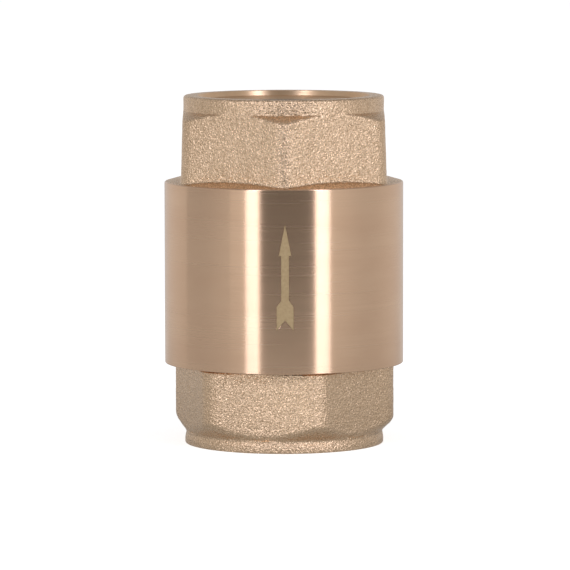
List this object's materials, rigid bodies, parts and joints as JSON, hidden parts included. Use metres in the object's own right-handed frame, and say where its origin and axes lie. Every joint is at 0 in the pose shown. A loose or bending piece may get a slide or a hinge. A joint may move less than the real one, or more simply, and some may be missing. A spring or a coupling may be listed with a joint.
{
  "type": "check valve",
  "caption": "In-line spring check valve with a round sleeve between two hexagon ends with female pipe threads.",
  "frame": {"origin": "centre of the inlet rim's plane, on the pipe axis", "axes": "+Z along the pipe axis in the direction of flow, from inlet to outlet; -Y is the side with the flow arrow"},
  "size_m": [0.0338, 0.0338, 0.0493],
  "materials": {
    "brass_body": "turned sleeve, blasted hexagons",
    "brass_trim": "turned",
    "nbr": "matt",
    "guide_plastic": "moulded",
    "stainless": "turned",
    "spring_steel": "drawn wire"
  },
  "bodies": {
    "housing": {"outlet_body": "brass_body", "inlet_adapter": "brass_body", "body_seal_ring": "nbr", "upper_stem_guide": "guide_plastic", "lower_stem_guide": "guide_plastic", "guide_snap_ring": "spring_steel", "closing_spring": "spring_steel"},
    "closure": {"valve_disc": "brass_trim", "disc_gasket": "nbr", "gasket_retainer": "brass_trim", "valve_stem": "stainless", "stem_nut": "stainless"}
  },
  "joints": [
    {"name": "closure_lift", "type": "slide", "parent": "housing", "child": "closure", "axis": [0, 0, 1], "range_m": [0, 0.0045], "stiffness_N_per_m": 210, "springref_m": -0.0026, "deforming": ["closing_spring"]}
  ]
}
